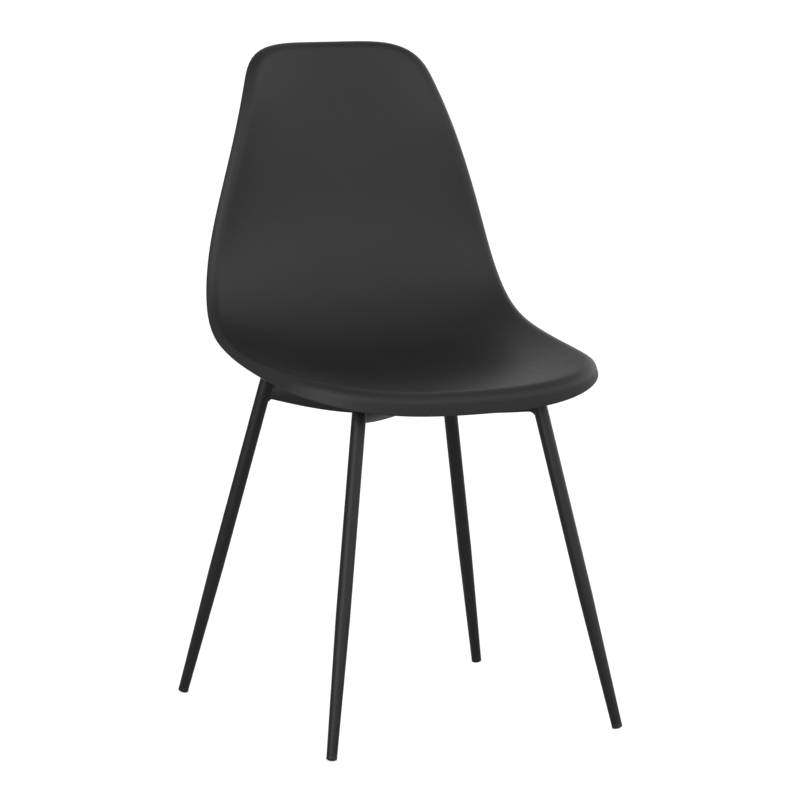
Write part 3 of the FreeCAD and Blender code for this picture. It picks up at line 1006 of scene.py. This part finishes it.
class CHAIR_OT_cross_frame(bpy.types.Operator):
    """Builds the cross plates and mounting tabs with their broken edges"""

    bl_idname = "chair.cross_frame"
    bl_label = "Cross plates and tabs"

    def execute(self, context):
        pieces = [(f"plate_from_front_{side}", "cross", PLATE_EASING) for side in SIDES]
        pieces += [(f"tab_{end}_{side}", "mounting", TAB_EASING) for end, side in CORNERS]
        for name, kind, easing in pieces:
            node = f"{kind}_{name}"
            mesh = eased_copy(name, node, easing)
            add_piece(name, mesh, "frame", node, smooth_angle=EASED_ANGLE)
        return {"FINISHED"}


def eased_copy(name, node, width):
    """Merged mesh of a solid with its sharp edges rounded."""
    shape = bmesh.new()
    shape.from_mesh(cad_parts[node].data)
    bmesh.ops.remove_doubles(shape, verts=shape.verts, dist=1e-6)
    bmesh.ops.dissolve_limit(
        shape, angle_limit=math.radians(0.5), verts=shape.verts, edges=shape.edges
    )
    limit = math.radians(EASED_ANGLE)
    sharp = [
        edge for edge in shape.edges if edge.is_manifold and edge.calc_face_angle(0) > limit
    ]
    bmesh.ops.bevel(
        shape,
        geom=sharp,
        offset=width,
        segments=3,
        profile=0.5,
        affect="EDGES",
        clamp_overlap=True,
    )
    mesh = bpy.data.meshes.new(name)
    shape.to_mesh(mesh)
    shape.free()
    return mesh


class CHAIR_OT_welds(bpy.types.Operator):
    """Lays the weld beads that join legs, cross plates and tabs"""

    bl_idname = "chair.welds"
    bl_label = "Weld beads"

    def execute(self, context):
        sizes = context.scene.chair_frame
        lines = {"weld_crossing": crossing_welds()}
        for end, side in CORNERS:
            lines[f"weld_leg_{end}_{side}"] = leg_welds(end, side, sizes.tube_diameter / 2)
            lines[f"weld_tab_{end}_{side}"] = tab_welds(end, side)
        for seed, (name, runs) in enumerate(lines.items()):
            inputs = {
                "Width": sizes.bead,
                "Pitch": sizes.bead * BEAD_PITCH_SHARE,
                "Seed": seed,
                "Finish": finishes()["frame"],
            }
            mesh = grown(name, lines_mesh(runs), trees()["weld"], inputs)
            add_piece(name, mesh, "frame")
        return {"FINISHED"}


def lines_mesh(runs):
    """Mesh of open lines, each a list of points."""
    points = []
    edges = []
    for run in runs:
        first = len(points)
        points += [tuple(point) for point in run]
        edges += [(first + number, first + number + 1) for number in range(len(run) - 1)]
    mesh = bpy.data.meshes.new("lines")
    mesh.from_pydata(points, edges, [])
    return mesh


def leg_welds(end, side, radius):
    """Lines in the corners between a cross plate's faces and top edge and its leg."""
    direction = leg_direction(end, side)
    along = arm_direction(end, side)
    beside = along.cross(UP)
    joint = joint_place(end, side)

    def corner(offset, drop):
        centre = joint - direction * (drop / direction.z)
        drift = (centre - joint).dot(beside)
        reach = math.sqrt(radius**2 - (offset - drift) ** 2) / direction.z
        inner = joint + along * ((centre - joint).dot(along) - reach)
        return inner + beside * offset - UP * drop

    runs = []
    for face in (-1, 1):
        offset = PLATE_THICKNESS / 2 * face
        depth = WELD_DEPTHS[end] - WELD_TOP
        runs.append([corner(offset, WELD_TOP + depth * number / 8) for number in range(9)])
    offsets = [PLATE_THICKNESS / 4 * number for number in range(-2, 3)]
    for inward, rise in WELD_ROWS:
        runs.append([corner(offset, -rise) - along * inward for offset in offsets])
    return runs


def tab_welds(end, side):
    """Level lines in the corners between a tab and its cross plate."""
    low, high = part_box(f"mounting_tab_{end}_{side}")
    along = arm_direction(end, side)
    fixing = Vector((FIXINGS[end, side].x, FIXINGS[end, side].y, 0))
    middle = crossing()
    middle.z = 0
    near = middle + along * (fixing - middle).dot(along)
    away = (fixing - near).normalized()
    edge = near + away * PLATE_THICKNESS / 2
    reach = along * (TAB_RADIUS - WELD_END_GAP)
    levels = (edge + UP * low.z, edge + UP * high.z)
    return [[level - reach, level + reach] for level in levels]


def crossing_welds():
    """Upright lines in the four corners where the cross plates halve into each other."""
    centre = crossing()
    first = arm_direction("front", "left")
    second = arm_direction("front", "right")
    runs = []
    for one in (-1, 1):
        for other in (-1, 1):
            corner = (first * one + second * other) * (PLATE_THICKNESS / 2)
            corner /= math.sqrt(1 - first.dot(second) ** 2)
            spot = centre + corner
            depth = 2 * HALVING_DEPTH - WELD_END_GAP
            runs.append([spot - UP * WELD_TOP, spot - UP * depth])
    return runs


class CHAIR_OT_fixings(bpy.types.Operator):
    """Builds the pads, inserts, washers and screws that hold the shell"""

    bl_idname = "chair.fixings"
    bl_label = "Shell fixings"

    def execute(self, context):
        for end, side in CORNERS:
            node = f"shell_pad_{end}_{side}"
            low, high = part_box(node)
            name = f"pad_{end}_{side}"
            corners = ring_corners(PAD_RADIUS, TAB_HOLE_RADIUS, high.z - low.z)
            base = Vector((FIXINGS[end, side].x, FIXINGS[end, side].y, low.z))
            mesh = turned_mesh(name, corners, True, PAD_ROUNDING, base, UP, "rubber")
            add_piece(name, mesh, "rubber", node, smooth_angle=TURNED_ANGLE)
        low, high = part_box("flat_washers")
        corners = ring_corners(FLAT_WASHER_RADIUS, WASHER_BORE, high.z - low.z)
        washer = turned_mesh("washer", corners, True, WASHER_ROUNDING, Vector(), UP, "zinc")
        self.place("flat_washer_set", washer, "flat_washers", "zinc")
        low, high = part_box("spring_washers")
        washer = split_ring(SPRING_WASHER_RADIUS, WASHER_BORE, high.z - low.z)
        self.place("spring_washer_set", washer, "spring_washers", "zinc")
        seat = low.z
        low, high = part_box("threaded_inserts")
        self.place("insert_set", knurled_insert(high.z - low.z), "threaded_inserts", "brass")
        low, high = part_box("shell_screws")
        screw = socket_screw(seat - low.z, high.z - seat)
        self.place("screw_set", screw, "shell_screws", "zinc")
        return {"FINISHED"}

    def place(self, name, mesh, node, finish):
        made = fixings_mesh(name, mesh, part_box(node)[0].z, finish)
        add_piece(name, made, finish, node, smooth_angle=EASED_ANGLE)


def ring_corners(outer, inner, height):
    return [(inner, 0), (outer, 0), (outer, height), (inner, height)]


def split_ring(outer, inner, height, around=72):
    """Spring washer: a ring that is cut through."""
    section = rounded(ring_corners(outer, inner, height), height * 0.12, True)
    half_gap = SPRING_WASHER_SPLIT / 2 / outer
    points = []
    for angle in np.linspace(half_gap, 2 * math.pi - half_gap, around):
        points += [(r * math.cos(angle), r * math.sin(angle), z) for r, z in section]
    count = len(section)
    faces = grid_faces(around, count, 0, True)
    faces.append(tuple(range(count)))
    faces.append(tuple(range(len(points) - count, len(points))))
    return closed_mesh("split_ring", points, faces)


def turned_rings(rings, angles):
    """Points and faces of a body from rings, each a (radius, height) pair for each angle."""
    points = []
    for ring in rings:
        for (radius, height), angle in zip(ring, angles):
            points.append((radius * math.cos(angle), radius * math.sin(angle), height))
    return points, grid_faces(len(rings), len(angles), 0, True)


def knurled_insert(height, around=96):
    """Brass insert with a diagonal knurl, a groove round its middle and a bore."""

    def radius_at(level, angle):
        if abs(level / height - 0.5) < INSERT_GROOVE_SHARE / 2:
            return INSERT_RADIUS - INSERT_GROOVE_DEPTH
        lean = level * KNURL_TURN
        turn = KNURL_RIDGES * angle
        knurl = KNURL_DEPTH * (1 - math.cos(turn + lean) * math.cos(turn - lean))
        from_end = min(level, height - level)
        return INSERT_RADIUS - knurl - max(INSERT_END_LENGTH - from_end, 0) * 0.8

    angles = np.linspace(0, 2 * math.pi, around, endpoint=False)
    rings = []
    for level in np.linspace(0, height, 41):
        rings.append([(radius_at(level, angle), level) for angle in angles])
    rings.append([(INSERT_BORE, height)] * around)
    rings.append([(INSERT_BORE, 0)] * around)
    rings.append(rings[0])
    return closed_mesh("insert", *turned_rings(rings, angles))


def socket_screw(head_height, length, around=36):
    """Screw with its head down: rounded head, hexagon socket and threaded shank."""

    def radius_at(level, angle):
        run = level - head_height
        phase = (run / THREAD_PITCH - angle / (2 * math.pi)) % 1
        ridge = abs(phase * 2 - 1)
        fade = min(run / THREAD_FADES[0], (length - run) / THREAD_FADES[1], 1)
        return SCREW_RADIUS - THREAD_DEPTH * (1 - ridge * max(fade, 0))

    angles = np.linspace(0, 2 * math.pi, around, endpoint=False)
    levels = np.linspace(head_height - 0.0002, head_height + length, 97)
    rings = [[(0, levels[0])] * around]
    for level in levels:
        rings.append([(radius_at(level, angle), level) for angle in angles])
    rings.append([(0, levels[-1])] * around)
    points, faces = turned_rings(rings, angles)
    head_points, head_faces = socket_head(head_height)
    shift = len(points)
    faces += [tuple(index + shift for index in face) for face in head_faces]
    return closed_mesh("screw", points + head_points, faces)


def socket_head(height, around=72):
    """Points and faces of a button head with a hexagon socket from below."""
    angles = np.linspace(0, 2 * math.pi, around, endpoint=False)

    def ring(radius, level):
        return [(radius, level)] * around

    def hexagon(width, level):
        turned = (angles + math.pi / 6) % (math.pi / 3) - math.pi / 6
        return [(width / 2 / math.cos(math.pi / 6 - abs(turn)), level) for turn in turned]

    rings = [ring(0, height), ring(HEAD_RADIUS - HEAD_RIM[0], height)]
    rings.append(ring(HEAD_RADIUS, height - HEAD_RIM[1]))
    for angle in np.linspace(0, math.pi / 2, 5):
        radius = HEAD_RADIUS - HEAD_ROUNDING * (1 - math.cos(angle))
        rings.append(ring(radius, HEAD_ROUNDING * (1 - math.sin(angle))))
    rings.append(hexagon(SOCKET_WIDTH + SOCKET_LEAD_IN[0], 0))
    rings.append(hexagon(SOCKET_WIDTH, SOCKET_LEAD_IN[1]))
    rings.append(hexagon(SOCKET_WIDTH, SOCKET_DEPTH))
    rings.append(ring(0, SOCKET_DEPTH + SOCKET_CONE))
    return turned_rings(rings, angles)


class CHAIR_OT_stage(bpy.types.Operator):
    """Sets the pale floor, the soft light and the camera"""

    bl_idname = "chair.stage"
    bl_label = "Stage"

    def execute(self, context):
        look = context.scene.chair_stage
        pale_floor()
        soft_sky(look.front_light, look.rear_light)
        soft_lamp(look.lamp_power)
        place_camera()
        context.scene.view_settings.view_transform = "Standard"
        return {"FINISHED"}


def pale_floor():
    """Wide pale floor that shows white, keeps a soft shadow and is clear from below."""
    size = FLOOR_HALF_SIZE
    mesh = bpy.data.meshes.new("floor")
    corners = [(-size, -size, 0), (size, -size, 0), (size, size, 0), (-size, size, 0)]
    mesh.from_pydata(corners, [], [(0, 1, 2, 3)])
    material = bpy.data.materials.new("Pale floor")
    material.use_nodes = True
    tree = material.node_tree
    tree.nodes.clear()

    def add(kind, inputs=None):
        return add_node(tree, kind, inputs).outputs

    matte = add("ShaderNodeBsdfDiffuse", {"Color": (FLOOR_SHADE, FLOOR_SHADE, FLOOR_SHADE, 1)})
    seen = add("ShaderNodeLightPath")["Is Camera Ray"]
    glow = add("ShaderNodeMapRange", {"Value": seen, "To Min": 0.0, "To Max": FLOOR_GLOW})
    bright = add("ShaderNodeEmission", {"Strength": glow[0]})
    both = add("ShaderNodeAddShader", {0: matte[0], 1: bright[0]})
    clear = add("ShaderNodeBsdfTransparent")
    below = add("ShaderNodeNewGeometry")["Backfacing"]
    choice = add("ShaderNodeMixShader", {0: below, 1: both[0], 2: clear[0]})
    add("ShaderNodeOutputMaterial", {0: choice[0]})
    mesh.materials.append(material)
    return set_out("floor", mesh)


def soft_sky(front, rear):
    """World that looks white and lights softly, more from the front than from behind."""
    world = bpy.data.worlds.new("Studio")
    bpy.context.scene.world = world
    world.use_nodes = True
    tree = world.node_tree
    tree.nodes.clear()

    def add(kind, inputs=None, **settings):
        return add_node(tree, kind, inputs, **settings).outputs

    def falling(value, span, high=0.0, low=1.0):
        spread = {"Value": value, "From Min": span[0], "From Max": span[1]}
        spread |= {"To Min": high, "To Max": low}
        return add("ShaderNodeMapRange", spread, interpolation_type="SMOOTHSTEP")[0]

    heading = add("ShaderNodeTexCoord")["Generated"]
    vectors = {0: heading, 1: REAR_HEADING}
    behind = add("ShaderNodeVectorMath", vectors, operation="DOT_PRODUCT")["Value"]
    around = falling(behind, REAR_FALL, front, rear)
    overhead = falling(add("ShaderNodeSeparateXYZ", {0: heading})["Z"], OVERHEAD_FALL)
    lighting = add("ShaderNodeMix", {"Factor": overhead, 2: around, 3: rear})
    path = add("ShaderNodeLightPath")
    rays = {0: path["Is Camera Ray"], 1: path["Is Transmission Ray"]}
    seen = add("ShaderNodeMath", rays, operation="MAXIMUM")
    level = add("ShaderNodeMix", {"Factor": seen[0], 2: lighting[0], 3: 1.0})
    light = add("ShaderNodeBackground", {"Color": (1, 1, 1, 1), "Strength": level[0]})
    add("ShaderNodeOutputWorld", {0: light[0]})


def soft_lamp(power):
    lamp = bpy.data.lights.new("key", "AREA")
    lamp.shape = "SQUARE"
    lamp.size = LAMP_SIZE
    lamp.energy = power
    holder = set_out("key", lamp)
    holder.location = LAMP_PLACE
    aim = Vector(LAMP_AIM) - Vector(LAMP_PLACE)
    holder.rotation_euler = aim.to_track_quat("-Z", "Y").to_euler()


def place_camera():
    azimuth = math.radians(CAMERA_AZIMUTH)
    elevation = math.radians(CAMERA_ELEVATION)
    level = math.cos(elevation)
    back = Vector((math.sin(azimuth) * level, -math.cos(azimuth) * level, math.sin(elevation)))
    lens = bpy.data.cameras.new("camera")
    lens.lens = CAMERA_LENS
    lens.sensor_width = 36
    lens.clip_end = 100
    camera = set_out("camera", lens)
    camera.location = Vector(CAMERA_CENTRE) + back * CAMERA_DISTANCE
    aim = Vector(CAMERA_AIM) - camera.location
    roll = Matrix.Rotation(math.radians(CAMERA_ROLL), 4, "Z")
    turned = aim.to_track_quat("-Z", "Y").to_matrix().to_4x4() @ roll
    camera.rotation_euler = turned.to_euler()
    bpy.context.scene.camera = camera


class CHAIR_PT_panel(bpy.types.Panel):
    """Lists the chair's sizes and the steps that build it"""

    bl_idname = "CHAIR_PT_panel"
    bl_label = "Shell Chair"
    bl_space_type = "VIEW_3D"
    bl_region_type = "UI"
    bl_category = "Shell Chair"

    def draw(self, context):
        layout = self.layout
        for settings in (context.scene.chair_shell, context.scene.chair_frame):
            box = layout.box()
            for name in settings.__annotations__:
                box.prop(settings, name)
        for step in STEPS:
            layout.operator(step.bl_idname)


STEPS = (
    CHAIR_OT_shell,
    CHAIR_OT_legs,
    CHAIR_OT_leg_ends,
    CHAIR_OT_cross_frame,
    CHAIR_OT_welds,
    CHAIR_OT_fixings,
    CHAIR_OT_stage,
)
CLASSES = (ShellSizes, FrameSizes, StageLook, *STEPS, CHAIR_PT_panel)


def register():
    for item in CLASSES:
        bpy.utils.register_class(item)
    bpy.types.Scene.chair_shell = bpy.props.PointerProperty(type=ShellSizes)
    bpy.types.Scene.chair_frame = bpy.props.PointerProperty(type=FrameSizes)
    bpy.types.Scene.chair_stage = bpy.props.PointerProperty(type=StageLook)


def unregister():
    del bpy.types.Scene.chair_stage
    del bpy.types.Scene.chair_frame
    del bpy.types.Scene.chair_shell
    for item in reversed(CLASSES):
        bpy.utils.unregister_class(item)


def main():
    register()
    bpy.ops.chair.shell()
    bpy.ops.chair.legs()
    bpy.ops.chair.leg_ends()
    bpy.ops.chair.cross_frame()
    bpy.ops.chair.welds()
    bpy.ops.chair.fixings()
    bpy.ops.chair.stage()


if __name__ == "__main__":
    main()
